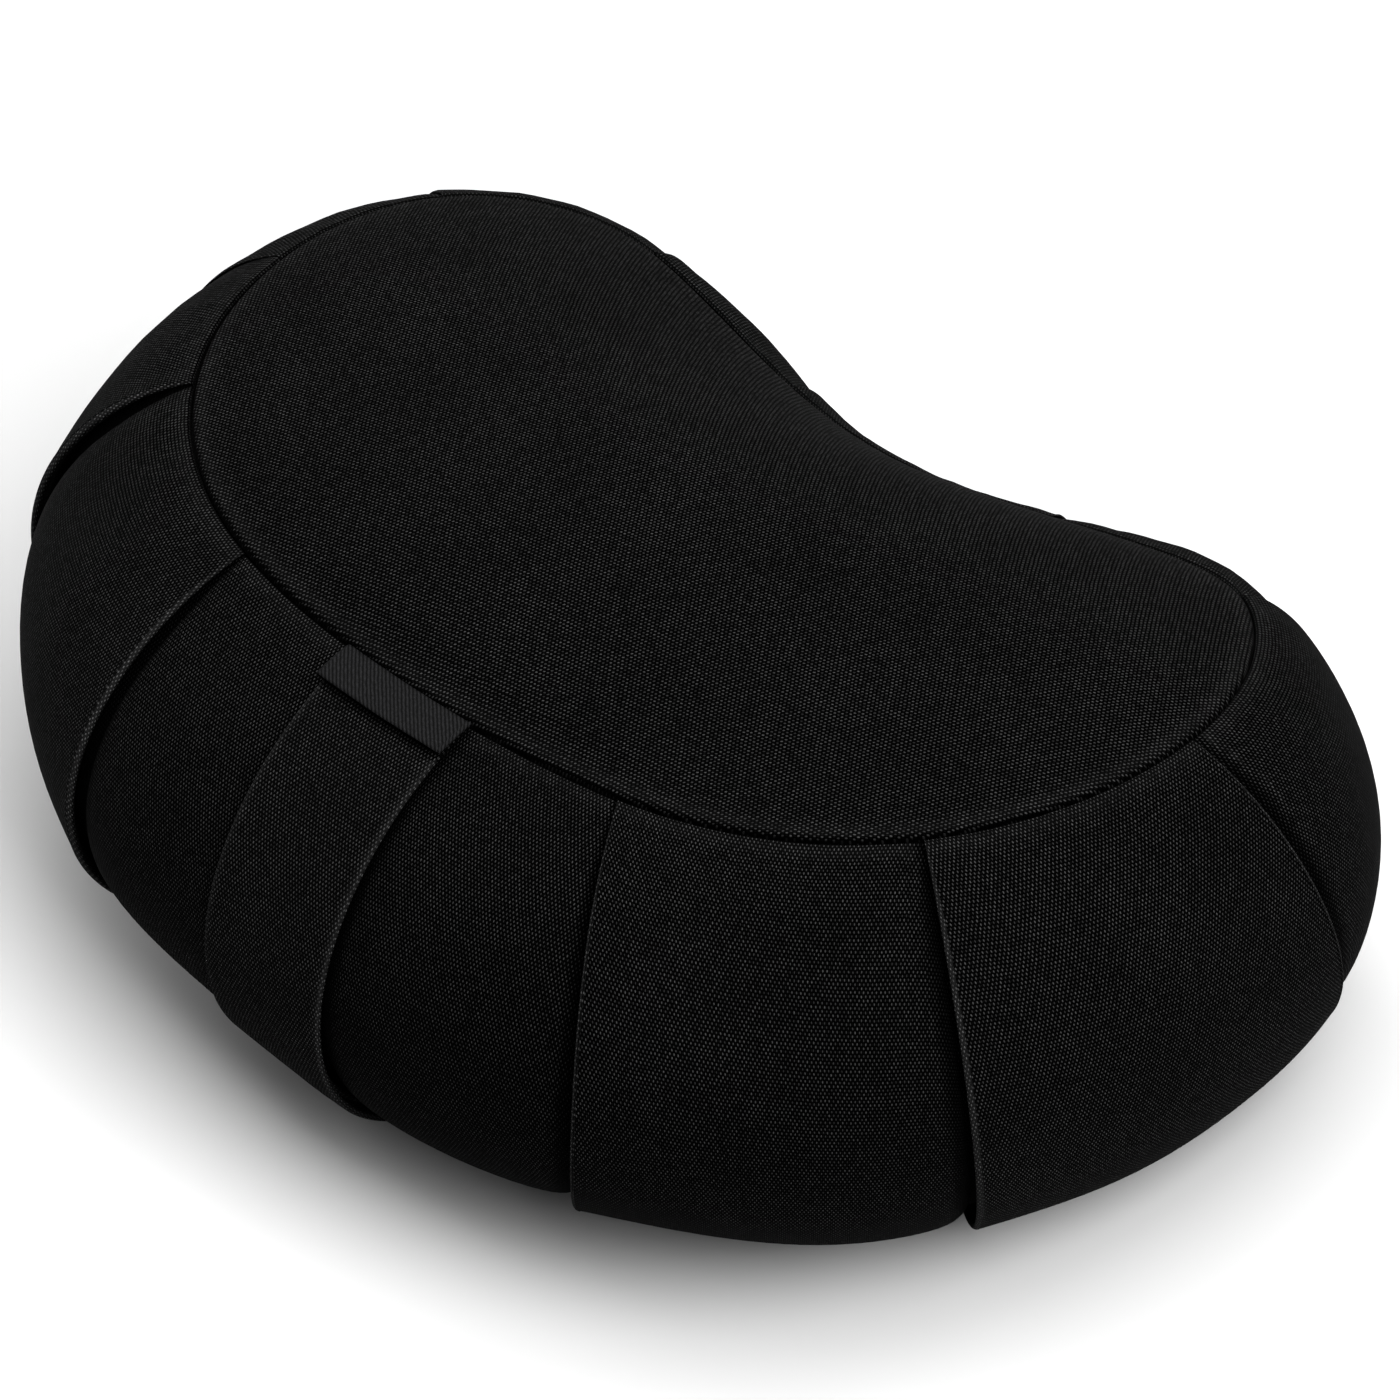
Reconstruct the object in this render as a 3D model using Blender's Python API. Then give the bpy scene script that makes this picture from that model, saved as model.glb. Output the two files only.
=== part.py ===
# Crescent meditation cushion: a filled canvas bag with a domed top panel, a knife-pleated side wall,
# a flat bottom panel, a carry strap down the front and a short label tape across the strap's top.
# Metres, +Z up. +X runs along the crescent, -Y is its convex front, +Y its waist.

import math

import bpy
import bmesh
from mathutils import Vector

# Seam outline seen from above, as a sum of waves of the angle t (0 at the front, pi at the waist).
# x takes the sine of each wave and y the cosine. The waist is pressed in a little further than the waves go.
OUTLINE = (
    {"wave": 1, "x": 0.1690, "y": -0.1080},
    {"wave": 2, "x": 0.0021, "y": -0.0150},
    {"wave": 3, "x": -0.0058, "y": 0.0147},
)
WAIST_DIP = 0.0042
WAIST_DIP_POWER = 8
OUTLINE_STEPS = 1440

# Heights above the floor.
PANEL_THICKNESS = 0.0020
PIECE_GAP = 0.0005
SHELF_DEPTH = PANEL_THICKNESS + 3 * PIECE_GAP
BOTTOM_SEAM_Z = 0.0045
BODY_BASE_INSET = 0.0040
BOTTOM_PANEL_INSET = 0.0010
TOP_SEAM_Z = 0.1370
SEAM_TILT = 0.0130
SEAM_RISE_AT_ENDS = 0.0070
CROWN_HEIGHT = 0.0280
CROWN_END_DROP = 0.0062
CROWN_FULLNESS = 2.3
SPINE_SHARE = 0.55

# How far the side wall swells out past the seams, and the half angle of the arc it follows.
BULGE_FRONT = 0.0690
BULGE_END = 0.0420
BULGE_WAIST = 0.0200
WALL_HALF_ANGLE = math.radians(73.0)
WALL_ROWS = (0.04, 0.10, 0.17, 0.25, 0.34, 0.43, 0.52, 0.61, 0.70, 0.78, 0.86, 0.93, 0.98)
CROWN_ROWS = (0.05, 0.13, 0.24, 0.38, 0.56, 0.78, 0.96)

# Knife pleats. "at" is the place on the top seam, measured along it from the middle of the front,
# "bow" and "lean" how far the fold has moved along half way down and by the bottom seam, "faces" the
# way its free edge points, and "step" the drop from the fold to the cloth it lies on.
PLEATS = (
    {"at": -0.425, "bow": 0.002, "lean": 0.004, "faces": 1, "step": 0.0060},
    {"at": -0.356, "bow": -0.003, "lean": -0.004, "faces": 1, "step": 0.0065},
    {"at": -0.287, "bow": 0.004, "lean": 0.005, "faces": 1, "step": 0.0070},
    {"at": -0.220, "bow": 0.011, "lean": 0.010, "faces": 1, "step": 0.0065},
    {"at": -0.163, "bow": 0.003, "lean": 0.000, "faces": 1, "step": 0.0085},
    {"at": -0.085, "bow": 0.003, "lean": -0.007, "faces": 1, "step": 0.0080},
    {"at": 0.0220, "bow": 0.002, "lean": 0.000, "faces": 1, "step": 0.0070},
    {"at": 0.071, "bow": 0.017, "lean": 0.008, "faces": -1, "step": 0.0060},
    {"at": 0.161, "bow": 0.003, "lean": 0.004, "faces": -1, "step": 0.0060},
    {"at": 0.251, "bow": 0.006, "lean": 0.020, "faces": -1, "step": 0.0075},
    {"at": 0.332, "bow": -0.009, "lean": -0.004, "faces": -1, "step": 0.0065},
    {"at": 0.400, "bow": 0.003, "lean": 0.004, "faces": -1, "step": 0.0060},
)
FOLD_HALF_WIDTH = 0.0009
FOLD_SHOULDER = 0.0070
LIP_SHARE = 0.40
LIP_REACH = 0.0140
TUCK_REACH = 0.0100
COLUMN_SPACING = 0.0125
PINNED_DEPTH = 0.15
PINNED_AT_TOP = 0.30
PINNED_AT_BOTTOM = 0.12

# Carry strap: folded canvas lying on the wall from the top seam to the bottom seam.
STRAP_CENTRE = -0.0055
STRAP_WIDTH = 0.0490
STRAP_THICKNESS = 0.0022
STRAP_CLEARANCE = 0.0005
STRAP_SLACK = 0.0010
STRAP_REACH = 0.0060
STRAP_TOP = 0.993
STRAP_BOTTOM = 0.035
STRAP_ROWS = 22
STRAP_COLUMNS = 5

# Label tape across the strap's top end.
LABEL_WIDTH = 0.0500
LABEL_DROP = 0.0130
LABEL_THICKNESS = 0.0010
LABEL_ROWS = 4
LABEL_COLUMNS = 5
LABEL_TRIAL_STEP = 0.0005

CANVAS_COLOUR = (0.012, 0.012, 0.012, 1.0)
TAPE_COLOUR = (0.022, 0.022, 0.023, 1.0)


def clear_scene():
    for obj in list(bpy.data.objects):
        bpy.data.objects.remove(obj, do_unlink=True)


def outline_at(t):
    x = sum(row["x"] * math.sin(row["wave"] * t) for row in OUTLINE)
    y = sum(row["y"] * math.cos(row["wave"] * t) for row in OUTLINE)
    waist_share = max(-math.cos(t), 0.0) ** WAIST_DIP_POWER
    return Vector((x, y - WAIST_DIP * waist_share, 0.0))


def measure_outline():
    """Arc length along the outline from the middle of the front, at evenly spaced angles."""
    lengths = [0.0]
    for i in range(OUTLINE_STEPS):
        start = outline_at(math.tau * i / OUTLINE_STEPS)
        end = outline_at(math.tau * (i + 1) / OUTLINE_STEPS)
        lengths.append(lengths[-1] + (end - start).length)
    return lengths


ARC_LENGTHS = measure_outline()
PERIMETER = ARC_LENGTHS[-1]
SEAM_HALF_LENGTH = max(outline_at(math.tau * i / OUTLINE_STEPS).x for i in range(OUTLINE_STEPS))


def angle_at(along):
    """Outline angle at an arc length, which may be negative or past a full turn."""
    along = along % PERIMETER
    low, high = 0, OUTLINE_STEPS
    while high - low > 1:
        middle = (low + high) // 2
        if ARC_LENGTHS[middle] <= along:
            low = middle
        else:
            high = middle
    share = (along - ARC_LENGTHS[low]) / (ARC_LENGTHS[high] - ARC_LENGTHS[low])
    return math.tau * (low + share) / OUTLINE_STEPS


def outward_at(t):
    step = 0.002
    along = (outline_at(t + step) - outline_at(t - step)).normalized()
    return Vector((along.y, -along.x, 0.0))


def top_seam_z(t):
    return TOP_SEAM_Z + SEAM_TILT * math.cos(t) - SEAM_RISE_AT_ENDS * math.cos(2 * t)


def bulge_at(outward):
    facing = -outward.y
    far = BULGE_FRONT if facing > 0 else BULGE_WAIST
    return BULGE_END + (far - BULGE_END) * facing * facing


def wall_point(along, height):
    """Point on the smooth side wall; height runs from 0 at the bottom seam to 1 at the top seam."""
    t = angle_at(along)
    outward = outward_at(t)
    angle = (2 * height - 1) * WALL_HALF_ANGLE
    swell = (math.cos(angle) - math.cos(WALL_HALF_ANGLE)) / (1 - math.cos(WALL_HALF_ANGLE))
    rise = 0.5 + 0.5 * math.sin(angle) / math.sin(WALL_HALF_ANGLE)
    point = outline_at(t) + outward * (bulge_at(outward) * swell)
    point.z = BOTTOM_SEAM_Z + (top_seam_z(t) - BOTTOM_SEAM_Z) * rise
    return point


def wall_normal(along, height):
    step = 0.0015
    low = max(height - 0.01, 0.0)
    high = min(height + 0.01, 1.0)
    sideways = wall_point(along + step, height) - wall_point(along - step, height)
    upward = wall_point(along, high) - wall_point(along, low)
    return sideways.cross(upward).normalized()


def stretch_at(along, height):
    """Length on the wall, at this height, of a unit of length along the top seam."""
    step = 0.005
    return (wall_point(along + step, height) - wall_point(along - step, height)).length / (2 * step)


def wrapped(distance):
    """A distance along the seam, brought to within half the perimeter."""
    return (distance + PERIMETER / 2) % PERIMETER - PERIMETER / 2


def drift_of(row, height):
    """How far a pleat has moved along the wall by this height, on a curve through its bow and lean."""
    down = 1 - height
    return 4 * row["bow"] * down * height + row["lean"] * down * (2 * down - 1)


def drift_at(along, height):
    """The same for any place on the top seam, read between the two pleats beside it."""
    along = along % PERIMETER
    places = sorted((row["at"] % PERIMETER, drift_of(row, height)) for row in PLEATS)
    first, last = places[0], places[-1]
    places = [(last[0] - PERIMETER, last[1])] + places + [(first[0] + PERIMETER, first[1])]
    for before, after in zip(places, places[1:]):
        if before[0] <= along < after[0]:
            share = (along - before[0]) / (after[0] - before[0])
            return before[1] + (after[1] - before[1]) * share
    return 0.0


def pleat_depth(height):
    """Pleats are pinned nearly flat in both seams and stand open between them."""
    from_seams = min(height / PINNED_AT_BOTTOM, (1 - height) / PINNED_AT_TOP, 1.0)
    return PINNED_DEPTH + (1 - PINNED_DEPTH) * math.sin(0.5 * math.pi * from_seams)


def relief_at(column, height):
    """Height of the cloth over the smooth wall: proud at a fold's free edge, sunk just past it."""
    total = 0.0
    for row in PLEATS:
        past = row["faces"] * wrapped(column - row["at"])
        if past < 0:
            total += row["step"] * LIP_SHARE * math.exp(past / LIP_REACH)
        else:
            total -= row["step"] * (1 - LIP_SHARE) * math.exp(-past / TUCK_REACH)
    return total * pleat_depth(height)


def wall_columns():
    """Places along the top seam where the mesh has a column: close together at the folds."""
    folds = sorted(row["at"] % PERIMETER for row in PLEATS)
    columns = []
    for fold, following in zip(folds, folds[1:] + [folds[0] + PERIMETER]):
        first = fold + FOLD_HALF_WIDTH
        last = following - FOLD_HALF_WIDTH
        inner_first = first + FOLD_SHOULDER
        inner_last = last - FOLD_SHOULDER
        steps = max(1, round((inner_last - inner_first) / COLUMN_SPACING))
        columns.append(first)
        columns += [inner_first + (inner_last - inner_first) * i / steps for i in range(steps + 1)]
        columns.append(last)
    return columns


def crown_point(column, inward):
    """Point on the top panel's outer surface; inward runs from 0 at the seam to 1 at its spine."""
    t = angle_at(column)
    edge = outline_at(t)
    spine_x = edge.x * SPINE_SHARE
    spine = Vector((spine_x, middle_y(spine_x), 0.0))
    point = edge.lerp(spine, inward)
    seam_share = (1 - inward) ** CROWN_FULLNESS
    towards_end = spine_x / (SPINE_SHARE * SEAM_HALF_LENGTH)
    crown_z = TOP_SEAM_Z + CROWN_HEIGHT - CROWN_END_DROP * towards_end ** 2
    point.z = seam_share * top_seam_z(t) + (1 - seam_share) * crown_z
    return point


def middle_y(x):
    """Half way between the front and the waist side of the outline, at this x."""
    sides = []
    for start, end in ((-0.5 * math.pi, 0.5 * math.pi), (1.5 * math.pi, 0.5 * math.pi)):
        low, high = start, end
        for _ in range(40):
            middle = 0.5 * (low + high)
            if outline_at(middle).x < x:
                low = middle
            else:
                high = middle
        sides.append(outline_at(0.5 * (low + high)).y)
    return 0.5 * (sides[0] + sides[1])


def canvas(name, colour, roughness):
    material = bpy.data.materials.new(name)
    material.use_nodes = True
    shader = material.node_tree.nodes["Principled BSDF"]
    shader.inputs["Base Color"].default_value = colour
    shader.inputs["Roughness"].default_value = roughness
    shader.inputs["Metallic"].default_value = 0.0
    return material


def finish_object(name, bm, material, parent):
    bmesh.ops.triangulate(bm, faces=bm.faces, quad_method="SHORT_EDGE")
    bmesh.ops.recalc_face_normals(bm, faces=bm.faces)
    mesh = bpy.data.meshes.new(name)
    bm.to_mesh(mesh)
    bm.free()
    mesh.materials.append(material)
    mesh.shade_smooth()
    mesh.set_sharp_from_angle(angle=math.radians(35))
    obj = bpy.data.objects.new(name, mesh)
    bpy.context.collection.objects.link(obj)
    obj.parent = parent
    return obj


def close_across(bm, ring):
    """Fills a crescent-shaped ring with triangles that run between its front and its waist side."""
    count = len(ring)
    left = min(range(count), key=lambda i: ring[i].co.x)
    right = max(range(count), key=lambda i: ring[i].co.x)
    front = [ring[(left + i) % count] for i in range((right - left) % count + 1)]
    waist = [ring[(left - i) % count] for i in range((left - right) % count + 1)]
    i = j = 0
    while i < len(front) - 1 or j < len(waist) - 1:
        ahead_front = front[i + 1].co.x if i < len(front) - 1 else math.inf
        ahead_waist = waist[j + 1].co.x if j < len(waist) - 1 else math.inf
        if ahead_front <= ahead_waist:
            corners = (front[i], front[i + 1], waist[j])
            i += 1
        else:
            corners = (front[i], waist[j + 1], waist[j])
            j += 1
        if len(set(corners)) == 3:
            bm.faces.new(corners)


def loft_rings(rings):
    """A closed body from rings of equal length, its first and last ring filled."""
    bm = bmesh.new()
    rows = [[bm.verts.new(point) for point in ring] for ring in rings]
    count = len(rows[0])
    for lower, upper in zip(rows, rows[1:]):
        for i in range(count):
            j = (i + 1) % count
            bm.faces.new((lower[i], lower[j], upper[j], upper[i]))
    close_across(bm, rows[0])
    close_across(bm, rows[-1])
    return bm


def body_wall_ring(columns, height):
    ring = []
    for column in columns:
        along = column + drift_at(column, height)
        ring.append(wall_point(along, height) + wall_normal(along, height) * relief_at(column, height))
    return ring


def seam_ring(columns, outset, height):
    """The outline moved outwards and held at a height that may depend on the angle."""
    ring = []
    for column in columns:
        t = angle_at(column)
        point = outline_at(t) + outward_at(t) * outset
        point.z = height(t)
        ring.append(point)
    return ring


def build_body(columns, material, parent):
    floor_gap = PANEL_THICKNESS + PIECE_GAP
    lowered = Vector((0, 0, -PANEL_THICKNESS - PIECE_GAP))
    rings = [seam_ring(columns, -BODY_BASE_INSET, lambda t: floor_gap)]
    rings += [body_wall_ring(columns, height) for height in WALL_ROWS]
    rings.insert(1, seam_ring(columns, 0.0, lambda t: BOTTOM_SEAM_Z))
    rings.append(seam_ring(columns, 0.0, top_seam_z))
    rings.append(seam_ring(columns, 0.0, lambda t: top_seam_z(t) - SHELF_DEPTH))
    for inward in CROWN_ROWS:
        rings.append([crown_point(column, inward) + lowered for column in columns])
    return finish_object("filled_body", loft_rings(rings), material, parent)


def build_top_panel(columns, material, parent):
    to_underside = Vector((0, 0, -PANEL_THICKNESS))
    outside = [seam_ring(columns, -PIECE_GAP, top_seam_z)]
    outside += [[crown_point(column, inward) for column in columns] for inward in CROWN_ROWS]
    underside = [[point + to_underside for point in ring] for ring in reversed(outside)]
    return finish_object("top_panel", loft_rings(underside + outside), material, parent)


def build_bottom_panel(columns, material, parent):
    rings = [seam_ring(columns, -BOTTOM_PANEL_INSET, lambda t, z=z: z) for z in (0.0, PANEL_THICKNESS)]
    return finish_object("bottom_panel", loft_rings(rings), material, parent)


def sheet_on_wall(name, centre, width, top, bottom, inner, thickness, rows, columns, material, parent):
    """A closed sheet of even width over the wall, inner(along, height) above it and thickness deep."""
    bm = bmesh.new()
    layers = []
    for depth in (0.0, thickness):
        grid = []
        for i in range(rows + 1):
            height = top + (bottom - top) * i / rows
            share = width / stretch_at(centre, height)
            line = []
            for j in range(columns + 1):
                along = centre + share * (j / columns - 0.5)
                normal = wall_normal(along, height)
                line.append(bm.verts.new(wall_point(along, height) + normal * (inner(along, height) + depth)))
            grid.append(line)
        layers.append(grid)
    under, over = layers
    for i in range(rows):
        for j in range(columns):
            bm.faces.new((under[i][j], under[i][j + 1], under[i + 1][j + 1], under[i + 1][j]))
            bm.faces.new((over[i][j], over[i + 1][j], over[i + 1][j + 1], over[i][j + 1]))
        for j in (0, columns):
            bm.faces.new((under[i][j], over[i][j], over[i + 1][j], under[i + 1][j]))
    for i in (0, rows):
        for j in range(columns):
            bm.faces.new((under[i][j], under[i][j + 1], over[i][j + 1], over[i][j]))
    return finish_object(name, bm, material, parent)


def strap_clearance(along, height):
    """How far the strap's underside is from the smooth wall: it rides over what stands proud near it."""
    nearby = [along + STRAP_REACH * i / 2 for i in range(-2, 3)]
    relief = max(relief_at(place - drift_at(place, height), height) for place in nearby)
    return max(relief, 0.0) + STRAP_CLEARANCE + STRAP_SLACK * math.sin(math.pi * height)


def build_strap(material, parent):
    return sheet_on_wall(
        "carry_strap", STRAP_CENTRE, STRAP_WIDTH, STRAP_TOP, STRAP_BOTTOM,
        strap_clearance, STRAP_THICKNESS, STRAP_ROWS, STRAP_COLUMNS, material, parent,
    )


def build_label(material, parent):
    tape_top = wall_point(STRAP_CENTRE, STRAP_TOP)
    bottom = STRAP_TOP
    while (wall_point(STRAP_CENTRE, bottom) - tape_top).length < LABEL_DROP:
        bottom -= LABEL_TRIAL_STEP
    return sheet_on_wall(
        "label_tape", STRAP_CENTRE, LABEL_WIDTH, STRAP_TOP, bottom,
        lambda along, height: strap_clearance(along, height) + STRAP_THICKNESS + STRAP_CLEARANCE,
        LABEL_THICKNESS, LABEL_ROWS, LABEL_COLUMNS, material, parent,
    )


def centre_on_origin(parent):
    """Puts the middle of everything's floor plan at the origin; the bottom panel is already at z = 0."""
    corners = [vertex.co for obj in parent.children for vertex in obj.data.vertices]
    for axis in (0, 1):
        values = [corner[axis] for corner in corners]
        parent.location[axis] = -0.5 * (min(values) + max(values))


def main():
    clear_scene()
    centre = bpy.data.objects.new("cushion_centre", None)
    bpy.context.collection.objects.link(centre)
    black_canvas = canvas("black cotton canvas", CANVAS_COLOUR, 0.9)
    woven_tape = canvas("woven label tape", TAPE_COLOUR, 0.6)
    columns = wall_columns()
    build_body(columns, black_canvas, centre)
    build_top_panel(columns, black_canvas, centre)
    build_bottom_panel(columns, black_canvas, centre)
    build_strap(black_canvas, centre)
    build_label(woven_tape, centre)
    centre_on_origin(centre)


main()
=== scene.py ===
# Crescent meditation cushion in black cotton canvas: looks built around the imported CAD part.
# Metres. +X runs along the crescent, -Y is its convex front with the strap, +Z is up.
import math

import bmesh
import bpy
import numpy as np
from mathutils import Matrix, Vector, noise


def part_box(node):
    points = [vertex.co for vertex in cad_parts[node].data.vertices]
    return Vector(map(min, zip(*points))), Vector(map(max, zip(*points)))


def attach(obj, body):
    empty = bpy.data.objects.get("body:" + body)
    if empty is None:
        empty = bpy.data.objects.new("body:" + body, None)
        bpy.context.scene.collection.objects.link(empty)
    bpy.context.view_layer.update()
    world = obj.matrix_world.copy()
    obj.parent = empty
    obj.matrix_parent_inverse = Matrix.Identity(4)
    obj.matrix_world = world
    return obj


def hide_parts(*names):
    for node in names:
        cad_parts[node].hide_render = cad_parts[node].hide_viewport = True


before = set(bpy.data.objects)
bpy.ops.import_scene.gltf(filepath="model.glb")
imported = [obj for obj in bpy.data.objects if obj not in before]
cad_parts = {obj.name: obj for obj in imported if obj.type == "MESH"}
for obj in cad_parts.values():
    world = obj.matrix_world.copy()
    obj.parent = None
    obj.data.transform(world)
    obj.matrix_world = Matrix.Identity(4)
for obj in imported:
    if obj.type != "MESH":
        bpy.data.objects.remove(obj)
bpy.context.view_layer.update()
mm = 0.001
sameSpot = 0.000001                                    # points nearer to each other than this are one

# The shape of the stuffed bag, the same formulas and sizes as the CAD solids, and its softer swellings.
bag = {
    "waves": ((1, 0.1690, -0.1080), (2, 0.0021, -0.0150), (3, -0.0058, 0.0147)),
    "waistDip": 0.0042, "waistPower": 8, "steps": 4096,
    "bottomSeamZ": 0.0045, "topSeamZ": 0.1370, "seamTilt": 0.0130, "seamRise": 0.0070,
    "crownHeight": 0.0280, "crownFullness": 2.3, "spineShare": 0.55,
    "crownEndDrop": 0.0062, "crownEndShare": 1.4, "crownEndBend": 1.25,
    "bulgeFront": 0.0690, "bulgeEnd": 0.0420, "bulgeWaist": 0.0200, "halfAngle": math.radians(73),
    # where the stuffing pushes out more: along, reach along, height, reach in height, how far out
    "puffs": ((0.358, 0.034, 0.86, 0.30, 0.0032), (-0.352, 0.045, 0.84, 0.30, 0.0014),
              (-0.172, 0.040, 0.66, 0.35, 0.0026), (0.030, 0.044, 0.28, 0.22, 0.0034),
              (0.205, 0.030, 0.80, 0.25, 0.0012), (-0.128, 0.040, 0.40, 0.30, -0.0024),
              (-0.260, 0.028, 0.85, 0.25, -0.0022)),
    "puffEdge": 0.07, "puffPower": 0.7,
    # the seam is drawn out a little at the two back corners: place round the outline, reach, along, across
    "corners": ((2.20, 0.20, 0.0012, 0.0026), (3.95, 0.22, -0.0004, 0.0021)),
    "seamShut": 0.45,                                  # how open the top seam is at the back, 1 in front
    "turnStep": 0.002, "alongStep": 0.0015, "heightStep": 0.01,    # to either side, where a slope is taken
}


def cadOutlineAt(t):
    x = sum(a * np.sin(k * t) for k, a, b in bag["waves"])
    y = sum(b * np.cos(k * t) for k, a, b in bag["waves"])
    return np.stack([x, y - bag["waistDip"] * np.maximum(-np.cos(t), 0) ** bag["waistPower"]], -1)


def outlineAt(t):
    xy = cadOutlineAt(t)
    for at, reach, along, across in bag["corners"]:
        near = np.exp(-((np.mod(t, math.tau) - at) / reach) ** 2)
        xy = xy + near[..., None] * (along, across)
    return xy


turn = np.linspace(0, math.tau, bag["steps"] + 1)
rim = outlineAt(turn)
rimLength = np.concatenate([[0], np.cumsum(np.linalg.norm(np.diff(rim, axis=0), axis=1))])
perimeter = rimLength[-1]
topLow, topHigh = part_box("top_panel")
cadRim = cadOutlineAt(turn)
# the CAD part is centred over its floor plan, and the outline moves with it
shift = (np.array(topLow) + np.array(topHigh))[:2] / 2 - (cadRim.min(0) + cadRim.max(0)) / 2


def nearestWrapped(d):
    return (d + perimeter / 2) % perimeter - perimeter / 2


def angleAt(s):
    return np.interp(np.mod(s, perimeter), rimLength, turn)


def outwardAt(t):
    d = outlineAt(t + bag["turnStep"]) - outlineAt(t - bag["turnStep"])
    d = d / np.linalg.norm(d, axis=-1, keepdims=True)
    return np.stack([d[..., 1], -d[..., 0]], -1)


def seamOpenAt(t):
    front = np.clip(-outwardAt(t)[..., 1], 0, 1)         # the seam gapes most along the front
    return bag["seamShut"] + (1 - bag["seamShut"]) * front


def topSeamZ(t):
    return bag["topSeamZ"] + bag["seamTilt"] * np.cos(t) - bag["seamRise"] * np.cos(2 * t)


def wallPoint(s, h):
    # s runs along the top seam from the middle of the front, h from 0 at the bottom seam to 1 at the top one
    t = angleAt(s)
    out = outwardAt(t)
    facing = -out[..., 1]
    far = np.where(facing > 0, bag["bulgeFront"], bag["bulgeWaist"])
    bulge = bag["bulgeEnd"] + (far - bag["bulgeEnd"]) * facing ** 2
    a = (2 * h - 1) * bag["halfAngle"]
    swell = (np.cos(a) - math.cos(bag["halfAngle"])) / (1 - math.cos(bag["halfAngle"]))
    rise = 0.5 + 0.5 * np.sin(a) / math.sin(bag["halfAngle"])
    puff = 0.0
    for at, reach, height, heightReach, amount in bag["puffs"]:
        away = (nearestWrapped(s - at) / reach) ** 2 + ((h - height) / heightReach) ** 2
        puff = puff + amount * np.exp(-away)
    puff = puff * np.clip(np.minimum(h, 1 - h) / bag["puffEdge"], 0, 1) ** bag["puffPower"]
    xy = outlineAt(t) + out * (bulge * swell + puff)[..., None] + shift
    z = bag["bottomSeamZ"] + (topSeamZ(t) - bag["bottomSeamZ"]) * rise
    return np.concatenate([xy, z[..., None]], -1)


def wallNormal(s, h):
    ds = wallPoint(s + bag["alongStep"], h) - wallPoint(s - bag["alongStep"], h)
    higher, lower = np.minimum(h + bag["heightStep"], 1), np.maximum(h - bag["heightStep"], 0)
    n = np.cross(ds, wallPoint(s, higher) - wallPoint(s, lower))
    return n / np.linalg.norm(n, axis=-1, keepdims=True)


def newPiece(name, points, faces, clothUv, wearAndPaintedLight, material):
    mesh = bpy.data.meshes.new(name)
    mesh.from_pydata(points.tolist(), [], faces)
    layer = mesh.uv_layers.new(name="clothMap")          # millimetres along and across the cloth
    corner = np.empty(len(mesh.loops), int)
    mesh.loops.foreach_get("vertex_index", corner)
    layer.data.foreach_set("uv", clothUv[corner].astype(np.float32).ravel())
    wornAndShaded = mesh.attributes.new("wearAndPaintedLight", "FLOAT", "POINT")   # 1 on folds and edges, where fibres stand up and a highlight is painted; below 0 it is painted shade
    wornAndShaded.data.foreach_set("value", np.asarray(wearAndPaintedLight, np.float32))
    mesh.materials.append(material)
    shell = bmesh.new()
    shell.from_mesh(mesh)
    # the hidden rings meet where a pleat is sewn
    bmesh.ops.remove_doubles(shell, verts=shell.verts, dist=sameSpot)
    shell.to_mesh(mesh)
    shell.free()
    mesh.shade_smooth()
    mesh.validate()
    piece = bpy.data.objects.new(name, mesh)
    bpy.context.scene.collection.objects.link(piece)
    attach(piece, "root")
    return piece


def tubeFaces(rows, columns):
    faces = []
    for i in range(rows - 1):
        a, b = i * columns, (i + 1) * columns
        for j in range(columns):
            k = (j + 1) % columns
            faces.append((a + j, a + k, b + k, b + j))
    return faces


def acrossFaces(points, first, count, up):
    # closes a crescent ring with triangles from its front side to its waist side, going along X
    ring = [first + i for i in range(count)]
    x = [points[i][0] for i in ring]
    left, right = int(np.argmin(x)), int(np.argmax(x))
    front = [ring[(left + i) % count] for i in range((right - left) % count + 1)]
    waist = [ring[(left - i) % count] for i in range((left - right) % count + 1)]
    faces, i, j = [], 0, 0
    while i < len(front) - 1 or j < len(waist) - 1:
        nextFront = points[front[i + 1]][0] if i < len(front) - 1 else math.inf
        nextWaist = points[waist[j + 1]][0] if j < len(waist) - 1 else math.inf
        if nextFront <= nextWaist:
            corners = (front[i], front[i + 1], waist[j])
            i += 1
        else:
            corners = (front[i], waist[j + 1], waist[j])
            j += 1
        if len(set(corners)) == 3:
            faces.append(corners if up else corners[::-1])
    return faces


def closedFaces(points, count):
    rows = len(points) // count
    faces = tubeFaces(rows, count) + acrossFaces(points, 0, count, False)
    return faces + acrossFaces(points, (rows - 1) * count, count, True)


def rolledDrop(distance, radius):
    near = np.clip(radius - distance, 0, radius)
    return radius - np.sqrt(radius ** 2 - near ** 2)   # quarter circle that turns down into a seam


def middleY(x):
    rightEnd, leftEnd = np.argmax(rim[:, 0]), np.argmin(rim[:, 0])
    frontSide = np.concatenate([np.arange(leftEnd, len(turn) - 1), np.arange(0, rightEnd + 1)])
    waistSide = np.arange(rightEnd, leftEnd + 1)[::-1]
    frontY = np.interp(x, rim[frontSide, 0], rim[frontSide, 1])
    return 0.5 * (frontY + np.interp(x, rim[waistSide, 0], rim[waistSide, 1]))


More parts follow.
